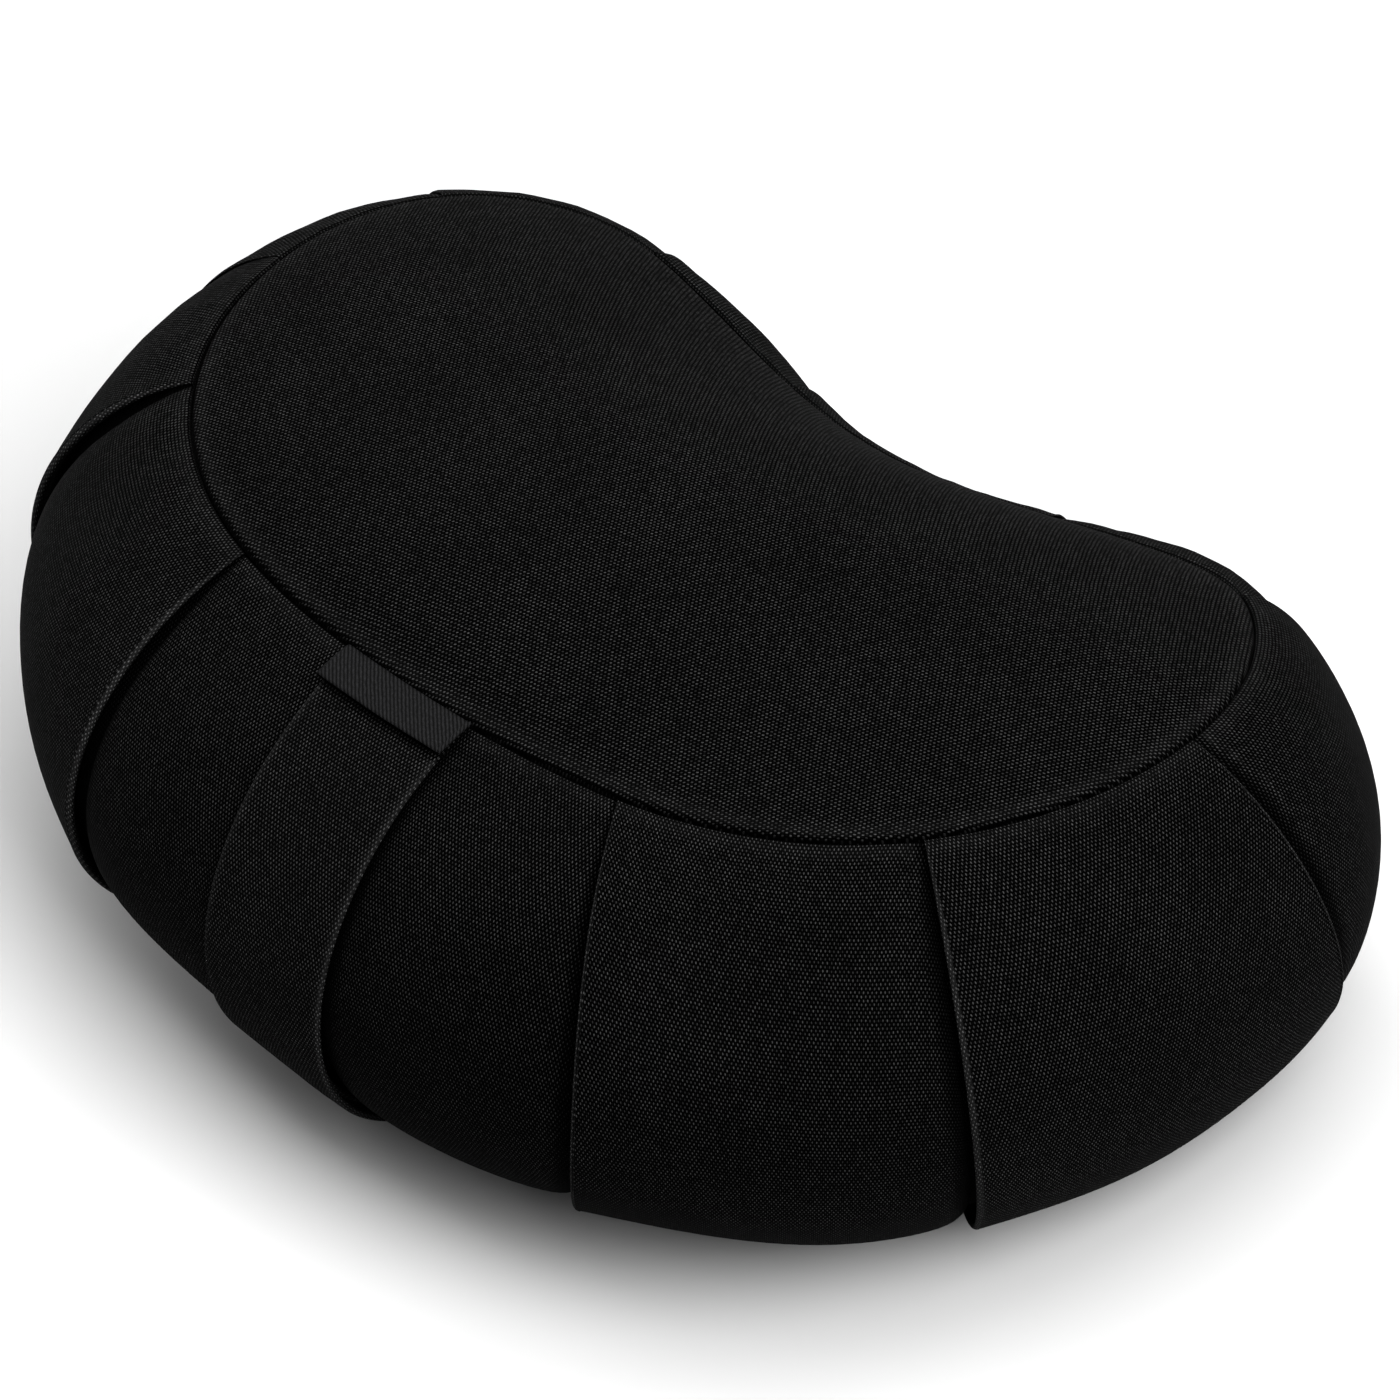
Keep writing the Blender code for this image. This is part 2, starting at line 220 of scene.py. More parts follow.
def crownPoints(columns, inward):
    # inward is 0 at the top seam and 1 on the spine, the middle line of the crescent
    t = angleAt(columns)
    edge = outlineAt(t)
    spineX = edge[:, 0] * bag["spineShare"]
    spine = np.stack([spineX, middleY(spineX)], -1)
    xy = edge + (spine - edge) * inward[:, None] + shift
    seamShare = (1 - inward) ** bag["crownFullness"]
    towardsEnd = (xy[:, 0] - shift[0]) / (bag["spineShare"] * rim[:, 0].max())
    bend = 1 - np.exp(-bag["crownEndBend"] * towardsEnd ** 2)
    crownZ = bag["topSeamZ"] + bag["crownHeight"] - bag["crownEndShare"] * bag["crownEndDrop"] * bend
    z = seamShare * topSeamZ(t) + (1 - seamShare) * crownZ
    return np.concatenate([xy, z[:, None]], 1)


# side wall: one strip of canvas, knife-pleated into both seams
pleats = (
    # at: place on the top seam; bow, lean: how far the fold has moved half way down and at the bottom
    # faces: way the free edge points; lip: how proud the edge stands; sunk: how deep the next cloth starts
    # shade: how far the painted shade in the crevice beside the fold reaches; ridge: how pale the edge beyond
    # that is painted, highlight and rubbing both
    # tone: painted shade on the panel after the fold, stronger towards the bottom; a plus value paints light
    {"at": -0.425, "bow": 0.002, "lean": 0.004, "faces": 1, "lip": 0.0007, "sunk": 0.0015, "roll": 0.0006,
     "shade": 0.0015, "tone": 0.00, "ridge": 0.00},
    {"at": -0.356, "bow": -0.003, "lean": -0.004, "faces": 1, "lip": 0.0007, "sunk": 0.0015, "roll": 0.0006,
     "shade": 0.0015, "tone": 0.00, "ridge": 0.00},
    {"at": -0.287, "bow": 0.004, "lean": 0.005, "faces": 1, "lip": 0.0007, "sunk": 0.0015, "roll": 0.0006,
     "shade": 0.0015, "tone": 0.00, "ridge": 0.00},
    {"at": -0.228, "bow": 0.009, "lean": 0.010, "faces": 1, "lip": 0.0011, "sunk": 0.0001, "roll": 0.0004,
     "shade": 0.0006, "tone": -0.12, "ridge": 0.00},
    {"at": -0.163, "bow": 0.001, "lean": -0.005, "faces": 1, "lip": 0.0028, "sunk": 0.0042, "roll": 0.0015,
     "shade": 0.0020, "tone": 0.04, "ridge": 0.00},
    {"at": -0.085, "bow": 0.003, "lean": -0.007, "faces": 1, "lip": 0.0024, "sunk": 0.0042, "roll": 0.0014,
     "shade": 0.0020, "tone": -0.34, "ridge": 0.00},
    {"at": 0.0130, "bow": 0.001, "lean": 0.000, "faces": 1, "lip": 0.0010, "sunk": 0.0042, "roll": 0.0010,
     "shade": 0.0020, "tone": -0.50, "ridge": 0.00},
    {"at": 0.071, "bow": 0.017, "lean": -0.012, "faces": -1, "lip": 0.0018, "sunk": 0.0044, "roll": 0.0012,
     "shade": 0.0032, "tone": -0.26, "ridge": 0.00},
    {"at": 0.161, "bow": 0.003, "lean": 0.004, "faces": -1, "lip": 0.0018, "sunk": 0.0058, "roll": 0.0012,
     "shade": 0.0045, "tone": -0.02, "ridge": 0.00},
    {"at": 0.248, "bow": 0.010, "lean": 0.032, "faces": 1, "lip": 0.0011, "sunk": 0.0044, "roll": 0.0010,
     "shade": 0.0056, "tone": -0.34, "ridge": 0.40},
    {"at": 0.326, "bow": -0.007, "lean": -0.004, "faces": 1, "lip": 0.0012, "sunk": 0.0034, "roll": 0.0010,
     "shade": 0.0015, "tone": -0.25, "ridge": 0.00},
    {"at": 0.400, "bow": 0.003, "lean": 0.004, "faces": -1, "lip": 0.0007, "sunk": 0.0015, "roll": 0.0006,
     "shade": 0.0015, "tone": 0.00, "ridge": 0.00},
)
wall = {
    "rows": 84, "columnStep": 0.0040, "nearFold": (0.0009, 0.0018, 0.0028, 0.0040, 0.0056, 0.0076, 0.0100),
    "lipReach": 0.0130, "sunkReach": 0.0095, "steepReach": 0.0026, "steepShare": 0.68,
    # a fold cut across: round its free edge, back under it, round the bottom of the tuck and out again
    "edgeAngles": (90, 60, 35, 10, -15, -40, -65, -90), "tuck": 0.0085, "tuckSteps": (0.3, 0.65),
    "tuckAngles": (90, 45, 0, -45, -90), "sewnDepth": 0.20, "sewnTop": 0.17, "sewnBottom": 0.13,
    "seamRoll": 0.0022, "seamGap": 0.0003, "seamGapFade": 0.0012, "seamTurnDown": 0.0026,
    "seamRows": (0.022, 0.017, 0.0125, 0.009, 0.0062, 0.004, 0.0023, 0.001, 0.0),    # crowded at the seam
    "underPanel": 0.0034, "hiddenRings": (0.05, 0.15, 0.35, 0.65, 0.93),   # closed off under the top panel
    "baseRings": ((0.0090, 0.0030), (0.0016, 0.0050)),                     # inset and height below the wall
    "clothStep": 0.25,                                 # from the weave of one panel to that of the next
    # the wear mark is 1 where the cloth is rubbed pale and a highlight is painted, and -1 where painted shade
    # makes it black: hidden cloth, crevices and the seam valley
    "foldWearAndHighlight": (0.4, 0.7, 0.9, 0.6, 0.0), "creviceShade": 0.95, "shadeShare": 0.48, "ridgeReach": 0.0012,
    "seamWearAndHighlight": 0.12, "seamWearAndHighlightAt": 0.0030, "seamShadeReach": 0.0007, "seamShadeDepth": 1.5,
    # painted shade on each panel towards the bottom, and a painted shadow beside the strap
    "toneRise": 2.2, "strapShade": 0.7, "strapShadeReach": 0.0016,
    "panelPuff": 0.0007, "waveSize": (0.045, 0.55), "waveDepth": 0.0011,   # soft unevenness of the stuffing
    # small gathers beside the top seam
    "puckerSize": (0.0085, 0.22), "puckerDepth": 0.0011, "puckerFade": 0.11, "puckerRise": 0.03,
}


def driftOf(row, h):
    down = 1 - h
    return 4 * row["bow"] * down * h + row["lean"] * down * (2 * down - 1)


def openAt(h):
    near = np.minimum(np.minimum(h / wall["sewnBottom"], (1 - h) / wall["sewnTop"]), 1.0)
    return wall["sewnDepth"] + (1 - wall["sewnDepth"]) * np.sin(0.5 * math.pi * near)


foldAt = np.array([row["at"] for row in pleats])


def afterFirstFold(s):
    return (s - foldAt[0]) % perimeter + foldAt[0]


def unevenAt(column, h):
    # the cloth between two folds: fuller in the middle, softly uneven, gathered beside the top seam
    ends = np.concatenate([foldAt, [foldAt[0] + perimeter]])
    s = afterFirstFold(column)
    k = np.clip(np.searchsorted(ends, s, side="right") - 1, 0, len(foldAt) - 1)
    share = (s - ends[k]) / (ends[k + 1] - ends[k])
    middle = np.sin(math.pi * np.clip(share, 0, 1))
    turned = math.tau * s / perimeter                    # sampled on a circle, so the strip closes
    ringWave, ringPucker = (perimeter / math.tau / wall[size][0] for size in ("waveSize", "puckerSize"))
    wave, pucker = np.zeros_like(s), np.zeros_like(s)
    for i, a in enumerate(turned):
        x, y = math.cos(a), math.sin(a)
        wave[i] = noise.noise(Vector((x * ringWave, y * ringWave, h / wall["waveSize"][1])))
        pucker[i] = noise.noise(Vector((x * ringPucker, y * ringPucker, h / wall["puckerSize"][1])))
    near = math.exp(-(1 - h) / wall["puckerFade"]) * min(1.0, (1 - h) / wall["puckerRise"])
    smooth = wall["panelPuff"] * middle + wall["waveDepth"] * wave * middle ** 0.5
    return smooth * openAt(h) + wall["puckerDepth"] * pucker * near


def driftAt(column, h):
    drift = np.array([driftOf(row, h) for row in pleats])
    places = np.concatenate([[foldAt[-1] - perimeter], foldAt, [foldAt[0] + perimeter]])
    drift = np.concatenate([drift[-1:], drift, drift[:1]])
    s = afterFirstFold(column)
    return np.interp(s, places, drift)


def reliefAt(column, h, skip=None):
    total = np.zeros_like(column)
    for k, row in enumerate(pleats):
        if k == skip:
            continue
        past = row["faces"] * nearestWrapped(column - row["at"])
        lip = row["lip"] * np.exp(np.minimum(past, 0) / wall["lipReach"])
        steep = wall["steepShare"] * np.exp(-np.maximum(past, 0) / wall["steepReach"])
        slow = (1 - wall["steepShare"]) * np.exp(-np.maximum(past, 0) / wall["sunkReach"])
        total += np.where(past < 0, lip, -row["sunk"] * (steep + slow))
    return total * openAt(h)


def foldProfile(row, k):
    lip, sunk, r = row["lip"] * k, row["sunk"] * k, row["roll"] * k
    q = (lip + sunk - 2 * r) / 2
    tuck = wall["tuck"]
    under = [-r - (tuck - r) * f for f in wall["tuckSteps"]]
    path = [(-r + r * math.cos(a), lip - r + r * math.sin(a)) for a in np.radians(wall["edgeAngles"])]
    path += [(x, lip - 2 * r) for x in under]
    path += [(-tuck - q * math.cos(a), lip - 2 * r - q + q * math.sin(a))
             for a in np.radians(wall["tuckAngles"])]
    return path + [(x, -sunk) for x in under[::-1]] + [(-r / 2, -sunk), (0.0, -sunk)]


foldCount = len(foldProfile(pleats[0], 1.0))
# the profile point at the bottom of the tuck
hiddenTurn = len(wall["edgeAngles"]) + len(wall["tuckSteps"]) + len(wall["tuckAngles"]) // 2


def wallColumns():
    # the places along the seam, and for each its pleat and profile point, or None for plain cloth
    columns, kinds = [], []
    for k, row in enumerate(pleats):
        order = range(foldCount) if row["faces"] > 0 else reversed(range(foldCount))
        for i in order:
            columns.append(row["at"])
            kinds.append((k, i))
        end = pleats[(k + 1) % len(pleats)]["at"] + (perimeter if k + 1 == len(pleats) else 0)
        after = [row["at"] + d for d in wall["nearFold"]]
        before = [end - d for d in reversed(wall["nearFold"])]
        steps = max(2, round((before[0] - after[-1]) / wall["columnStep"]))
        places = after[:-1] + list(np.linspace(after[-1], before[0], steps + 1)) + before[1:]
        columns += places
        kinds += [None] * len(places)
    return np.array(columns), kinds


def wallRow(columns, kinds, h):
    along = columns + driftAt(columns, h)
    offset = reliefAt(columns, h) + unevenAt(columns, h)
    k = float(openAt(h))
    for j, kind in enumerate(kinds):
        if kind:
            row = pleats[kind[0]]
            ds, do = foldProfile(row, k)[kind[1]]
            along[j] += row["faces"] * ds
            offset[j] = do + reliefAt(np.array([row["at"]]), h, skip=kind[0])[0]
    level = np.full_like(along, h)
    return wallPoint(along, level) + wallNormal(along, level) * offset[:, None]


def wallClothMap(grid, kinds):
    # down from the top seam, and along from the middle of each stretch between the bottoms of two tucks
    down = np.linalg.norm(np.diff(grid, axis=0, append=grid[-1:]), axis=2)
    v = -np.cumsum(down[::-1], axis=0)[::-1]
    u = np.concatenate([np.zeros((len(grid), 1)), np.linalg.norm(np.diff(grid, axis=1), axis=2).cumsum(1)], 1)
    turns = [j for j, kind in enumerate(kinds) if kind and kind[1] == hiddenTurn]
    for p, (a, b) in enumerate(zip([0] + turns, turns + [len(kinds)])):
        middle = (a + b) // 2
        u[:, a:b] += p * wall["clothStep"] - u[:, middle:middle + 1]
    joint = u[:, -1] + np.linalg.norm(grid[:, 0] - grid[:, -1], axis=1)
    u[:, :turns[0]] += (joint - u[:, 0])[:, None]        # the first stretch goes on from the last
    return np.stack([u, v], -1).reshape(-1, 2) / mm


def wallWearAndShade(columns, kinds, heights, toSeam, gape):
    opened = np.array([float(openAt(h)) for h in heights])
    wornAndShaded = np.zeros((len(heights), len(columns)))
    # painted shade in the crevice beside each fold, and a painted highlight on the ridge beyond it
    for row in pleats:
        past = row["faces"] * nearestWrapped(columns - row["at"])
        reach = row["shade"] * np.maximum(opened, wall["shadeShare"])[:, None]
        wornAndShaded -= wall["creviceShade"] * np.exp(-(past[None] / reach) ** 4) * (past > 0)
        beyond = (past[None] - reach - wall["ridgeReach"]) / wall["ridgeReach"]
        wornAndShaded += row["ridge"] * opened[:, None] * np.exp(-beyond ** 2)
    # painted shade on each panel, stronger towards the bottom; a plus value paints light
    panel = np.searchsorted(foldAt, afterFirstFold(columns), side="right") - 1
    tone = np.array([row["tone"] for row in pleats])[panel]
    wornAndShaded += tone[None] * np.clip(wall["toneRise"] * (1 - heights), 0, 1)[:, None]
    for i, h in enumerate(heights):                      # painted shadow on the cloth beside the strap's edges
        across = (columns + driftAt(columns, h) - strapCentre(h)) * stretchAt(strapCentre(h), h)
        beside = (np.abs(nearestWrapped(across)) - strap["width"] / 2) / wall["strapShadeReach"]
        wornAndShaded[i] -= wall["strapShade"] * np.exp(-np.clip(beside, 0, None) ** 2)
    # rolled fold edges: real rubbing and a painted highlight; cloth inside the tuck is painted black as shade
    for j, kind in enumerate(kinds):
        if kind:
            wornAndShaded[:, j] = wall["foldWearAndHighlight"][kind[1]] * opened if kind[1] < len(wall["foldWearAndHighlight"]) else -1
    # painted highlight with rubbing on the seam shoulder, painted shade down in the seam valley
    wornAndShaded += wall["seamWearAndHighlight"] * np.exp(-((toSeam - wall["seamWearAndHighlightAt"]) / wall["seamWearAndHighlightAt"]) ** 2)
    return np.maximum(wornAndShaded - wall["seamShadeDepth"] * np.exp(-(toSeam / wall["seamShadeReach"] / gape) ** 2), -1)


def buildWall(material):
    columns, kinds = wallColumns()
    count = len(columns)
    even = np.linspace(0, 1 - wall["seamRows"][0], wall["rows"])
    heights = np.concatenate([even, 1 - np.array(wall["seamRows"][1:])])
    grid = np.array([wallRow(columns, kinds, h) for h in heights])
    toSeam = np.linalg.norm(np.diff(grid, axis=0), axis=2)[::-1].cumsum(0)[::-1]
    toSeam = np.concatenate([toSeam, np.zeros((1, count))])
    grid[..., 2] -= rolledDrop(toSeam, wall["seamRoll"])
    t = angleAt(columns)
    seam, out, gape = outlineAt(t) + shift, outwardAt(t), seamOpenAt(t)
    gap = gape * wall["seamGap"]
    grid[..., :2] += out * (gap * np.exp(-toSeam / wall["seamGapFade"]))[..., None]

    def ring(outset, z):
        outset = np.broadcast_to(outset, t.shape)[:, None]
        return np.concatenate([seam + out * outset, np.broadcast_to(z, t.shape)[:, None]], 1)

    base = [ring(-inset, z) for inset, z in wall["baseRings"]]
    hidden = [ring(gap, topSeamZ(t) - wall["seamRoll"] - wall["seamTurnDown"])]
    for inward in wall["hiddenRings"]:
        hidden.append(crownPoints(columns, np.full(count, inward)) - (0, 0, wall["underPanel"]))
    points = np.concatenate(base + list(grid) + hidden)
    uv = np.pad(wallClothMap(grid, kinds), ((len(base) * count, len(hidden) * count), (0, 0)))
    wornAndShaded = wallWearAndShade(columns, kinds, heights, toSeam, gape)
    # base rings and hidden rings are painted black as shade
    wornAndShaded = np.pad(wornAndShaded, ((len(base), len(hidden)), (0, 0)), constant_values=-1).ravel()
    piece = newPiece("pleated_wall", points, closedFaces(points, count), uv, wornAndShaded, material)
    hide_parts("filled_body")


# crescent panels, top and bottom
topPanel = {
    "columns": 720, "thickness": 0.0011, "gap": 0.0004, "roll": 0.0018, "turnDown": 0.0012,
    "near": (0.0, 0.0003, 0.0007, 0.0012, 0.0018, 0.0025, 0.0036, 0.0052, 0.0075, 0.0105),
    "rings": 34, "ringPower": 1.25, "last": 0.975, "underFrom": 5, "underEvery": 4,
    "grain": math.radians(125), "flat": (0.362, 0.208), "area": 0.0560,
    "rimWearAndHighlight": 0.14, "rimWearAndHighlightAt": 0.0026, "rimWearAndHighlightReach": 0.0022, "seamShadeReach": 0.0006, "seamShadeDepth": 1.5,
}


def buildTopPanel(material):
    columns = np.arange(topPanel["columns"]) * perimeter / topPanel["columns"]
    t = angleAt(columns)
    edge = outlineAt(t) + shift
    inner = crownPoints(columns, np.full(len(columns), 1.0))[:, :2]
    out = outwardAt(t)
    gape = seamOpenAt(t)
    reach = -((inner - edge) * out).sum(1)
    rows = []
    for d in topPanel["near"]:
        points = crownPoints(columns, d / reach)
        points[:, :2] -= out * (topPanel["gap"] * gape)[:, None]
        points[:, 2] -= rolledDrop(np.full(len(columns), d), topPanel["roll"])
        rows.append(points)
    first = topPanel["near"][-1] / reach
    for k in range(1, topPanel["rings"] + 1):
        share = (k / topPanel["rings"]) ** topPanel["ringPower"]
        rows.append(crownPoints(columns, first + (topPanel["last"] - first) * share))
    turned = rows[0] - (0, 0, topPanel["turnDown"])
    kept = rows[topPanel["underFrom"]::topPanel["underEvery"]]
    under = [row - (0, 0, topPanel["thickness"]) for row in kept]
    rows = under[::-1] + [turned] + rows
    points = np.concatenate(rows)
    count = len(columns)
    c, s = math.cos(topPanel["grain"]), math.sin(topPanel["grain"])
    uv = np.stack([points[:, 0] * c + points[:, 1] * s, -points[:, 0] * s + points[:, 1] * c], -1) / mm
    # the underside and the turned-down edge are painted black as shade
    wornAndShaded = -np.ones((len(rows), count))
    wornAndShaded[len(under) + 1 + len(topPanel["near"]):] = 0
    near = np.array(topPanel["near"])[:, None]
    # painted highlight with some rubbing along the rolled rim, painted shade down in the seam
    rimWornAndShaded = topPanel["rimWearAndHighlight"] * np.exp(-((near - topPanel["rimWearAndHighlightAt"]) / topPanel["rimWearAndHighlightReach"]) ** 2)
    rimWornAndShaded = rimWornAndShaded - topPanel["seamShadeDepth"] * np.exp(-(near / topPanel["seamShadeReach"] / gape[None]) ** 2)
    wornAndShaded[len(under) + 1:len(under) + 1 + len(near)] = np.maximum(rimWornAndShaded, -1)
    piece = newPiece("crescent_top", points, closedFaces(points, count), uv, wornAndShaded.ravel(), material)
    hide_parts("top_panel")


basePanel = {
    "columns": 360, "thickness": 0.0012, "inside": 0.0008,
    # inset from the seam and height
    "rings": ((0.0002, 0.0043), (0.0012, 0.0026), (0.003, 0.0012), (0.006, 0.0003), (0.010, 0.0)),
    "flat": (0.362, 0.208), "area": 0.0560,
}


def buildBasePanel(material):
    columns = np.arange(basePanel["columns"]) * perimeter / basePanel["columns"]
    t = angleAt(columns)
    seam = outlineAt(t) + shift
    out = outwardAt(t)

    def ring(inset, z):
        return np.concatenate([seam - out * inset, np.full((len(t), 1), z)], 1)

    outside = [ring(inset, z) for inset, z in basePanel["rings"]]
    inside = [ring(inset + basePanel["inside"], z + basePanel["thickness"])
              for inset, z in basePanel["rings"]]
    points = np.concatenate(outside[::-1] + inside)
    faces = closedFaces(points, len(columns))
    uv = points[:, :2] / mm
    piece = newPiece("crescent_base", points, faces, uv, np.zeros(len(points)), material)
    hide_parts("bottom_panel")


# carry strap: canvas folded to two plies, lying down the front
strap = {
    "centreTop": -0.0065, "centreMiddle": -0.0025, "width": 0.0476, "top": 0.996, "bottom": 0.030,
    "rows": 150, "columns": 24, "ply": 0.0010, "edgeAngles": (80, 45, 0, -45, -80),
    "clear": 0.0003, "lift": 0.0004, "reach": 0.0060, "stretchStep": 0.005,
    "wearAndPaintedLight": 0.04, "edge": 0.0014, "edgeWearAndHighlight": 0.65,      # rubbed all over; along its folded edges rubbed more and a highlight painted
    # painted shadow on the strap below the label's lower edge, and black under the label
    "labelShadow": 1.0, "labelShadowFade": 0.009, "flat": (0.0490, 0.212),
}


def strapCentre(h):
    bow = strap["centreMiddle"] - strap["centreTop"]
    return strap["centreTop"] + bow * np.sin(math.pi * np.clip(1 - h, 0, 1))


def stretchAt(s, h):
    # how much longer the bulging wall is here than the seam above it
    step = strap["stretchStep"]
    return np.linalg.norm(wallPoint(s + step, h) - wallPoint(s - step, h), axis=-1) / (2 * step)


def wallTopAt(s, h):
    # the cloth spans small dips: it lies on the highest of five places beside each other
    found = []
    for k in range(-2, 3):
        place = s + strap["reach"] * k / 2
        column = place - driftAt(place, h)
        found.append(reliefAt(column, h) + unevenAt(column, h))
    return np.max(found, axis=0)


def sheetSection(half, ply, plies, across):
    # across the sheet: its face, the rounded edge of each ply on the right, its back, the same on the left
    flatPart = np.linspace(-half + ply, half - ply, across)
    right = []
    for k in reversed(range(plies)):
        for a in np.radians(strap["edgeAngles"]):
            right.append((half - ply / 2 + ply / 2 * math.cos(a), ply * (k + 0.5) + ply / 2 * math.sin(a)))
    left = [(-x, z) for x, z in reversed(right)]
    face = [(x, ply * plies) for x in flatPart]
    return np.array(face + right + [(x, 0.0) for x in flatPart[::-1]] + left)


def buildSheetOnWall(name, size, section, heights, underside, wearAndPaintedLight, material):
    rows = []
    for h in heights:
        level = np.full(len(section), h)
        centre = np.array(strapCentre(h))
        s = centre + section[:, 0] / stretchAt(centre, np.array(h))
        place = wallPoint(s, level) + wallNormal(s, level) * (underside(s, h) + section[:, 1])[:, None]
        toSeam = np.linalg.norm(wallPoint(s, np.ones(len(s))) - wallPoint(s, level), axis=-1)
        place[:, 2] -= rolledDrop(toSeam, wall["seamRoll"])     # turned down into the seam with the wall
        rows.append(place)
    points = np.concatenate(rows)
    count = len(section)
    faces = tubeFaces(len(rows), count)
    faces.append(tuple(range(count))[::-1])
    faces.append(tuple((len(rows) - 1) * count + i for i in range(count)))
    line = np.array([row[size["columns"] // 2] for row in rows])
    v = np.concatenate([[0], np.linalg.norm(np.diff(line, axis=0), axis=1).cumsum()])
    turned = np.concatenate([[0], np.linalg.norm(np.diff(section, axis=0), axis=1).cumsum()])
    uv = np.stack([np.tile(turned, len(rows)), np.repeat(v, count)], -1) / mm
    print(name, "is", round(v[-1] / mm, 1), "mm long")
    wornAndShaded = np.broadcast_to(wearAndPaintedLight, (len(rows), count)).ravel()
    return newPiece(name, points, faces, uv, wornAndShaded, material)


def strapUnderside(s, h):
    return wallTopAt(s, h) + strap["clear"] + strap["lift"] * math.sin(math.pi * h)


def buildStrap(material):
    heights = np.linspace(strap["bottom"], strap["top"], strap["rows"])
    section = sheetSection(strap["width"] / 2, strap["ply"], 2, strap["columns"])
    fromEdge = strap["width"] / 2 - np.abs(section[:, 0])
    atEdge = np.clip(1 - fromEdge / strap["edge"], 0, 1) * (section[:, 1] > strap["ply"] / 2)
    wearAndPaintedLight = strap["wearAndPaintedLight"] + strap["edgeWearAndHighlight"] * atEdge
    underLabelShadow = np.clip((heights - labelLowEdge()) / strap["labelShadowFade"] + 1, 0, 1)    # painted shadow below the label, black under it
    wearAndPaintedLight = wearAndPaintedLight[None] - strap["labelShadow"] * underLabelShadow[:, None]
    piece = buildSheetOnWall("strap_cloth", strap, section, heights, strapUnderside, wearAndPaintedLight, material)
    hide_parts("carry_strap")


# label tape: sewn in at the top, its lower edge stands a little off the strap
label = {
    "width": 0.0505, "drop": 0.0130, "top": 0.996, "ply": 0.0007, "clear": 0.0003, "rows": 14, "columns": 44,
    "loose": 0.0017, "hem": 0.0018, "hemHeight": 0.0004, "hemLine": 0.0005, "hemLineDepth": 0.00035,
    "searchStep": 0.0002, "flat": (0.0505, 0.0130),
}


def labelLowEdge():
    centre, low = np.array(strap["centreTop"]), label["top"]
    seam = wallPoint(centre, np.array(low))
    while np.linalg.norm(wallPoint(centre, np.array(low)) - seam) < label["drop"]:
        low -= label["searchStep"]
    return low


def buildLabel(material):
    low = labelLowEdge()
    heights = np.linspace(low, label["top"], label["rows"])
    section = sheetSection(label["width"] / 2, label["ply"], 1, label["columns"])
    fromEnd = label["width"] / 2 - section[:, 0]
    onFace = section[:, 1] > label["ply"] / 2
    section[:, 1] += onFace * label["hemHeight"] * np.clip((label["hem"] - fromEnd) / label["hemLine"], 0, 1)
    fromLine = (fromEnd - label["hem"]) / label["hemLine"]
    section[:, 1] -= onFace * label["hemLineDepth"] * np.exp(-fromLine ** 2)

    def underside(s, h):
        loose = label["loose"] * (label["top"] - h) / (label["top"] - low)
        return strapUnderside(s, h) + 2 * strap["ply"] + label["clear"] + loose

    piece = buildSheetOnWall("label_cloth", label, section, heights, underside, 0.0, material)
    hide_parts("label_tape")


# materials
def linear(hexColour):
    values = [int(hexColour[i:i + 2], 16) / 255 for i in (1, 3, 5)]
    return tuple(c / 12.92 if c <= 0.04045 else ((c + 0.055) / 1.055) ** 2.4 for c in values) + (1.0,)


def addNode(tree, kind, links=None, **settings):
    node = tree.nodes.new(kind)
    for key, value in settings.items():
        setattr(node, key, value)
    for socket, source in (links or {}).items():
        target = node.inputs[socket]
        if isinstance(source, bpy.types.NodeSocket):
            tree.links.new(source, target)
        else:
            target.default_value = source
    return node


def newMaterial(name):
    material = bpy.data.materials.new(name)
    material.use_nodes = True
    return material, material.node_tree, material.node_tree.nodes["Principled BSDF"]


canvas = {
    "weft": 1.12, "warp": 0.60,                        # thread spacing in mm, measured on the photograph
    "topFrom": 0.20, "topTo": 0.95, "weftHeight": 0.6,    # where the upper thread starts and is full
    # the fuzz colour is added where the mark is above 0: fibres on folds and a painted highlight
    "gap": "#000000", "under": "#030303", "over": "#282828", "fuzzAndHighlight": "#141414",
    "threadFrom": 0.50, "threadTo": 1.60,              # each crossing is dyed and worn differently
    "waver": 0.5, "waverScale": 0.35, "noiseFrom": 0.3, "noiseTo": 0.7,
    "fleckScale": 0.22, "fleckFrom": 0.84, "fleckTo": 1.16,
    "patchScale": 0.022, "patchFrom": 0.82, "patchTo": 1.18,
    "rough": 0.85, "spec": 0.015, "ior": 1.25, "sheen": 0.003, "sheenRough": 0.40,
    "bump": 0.8, "bumpMm": 0.25, "wearAndPaintedLight": 0.85,
}


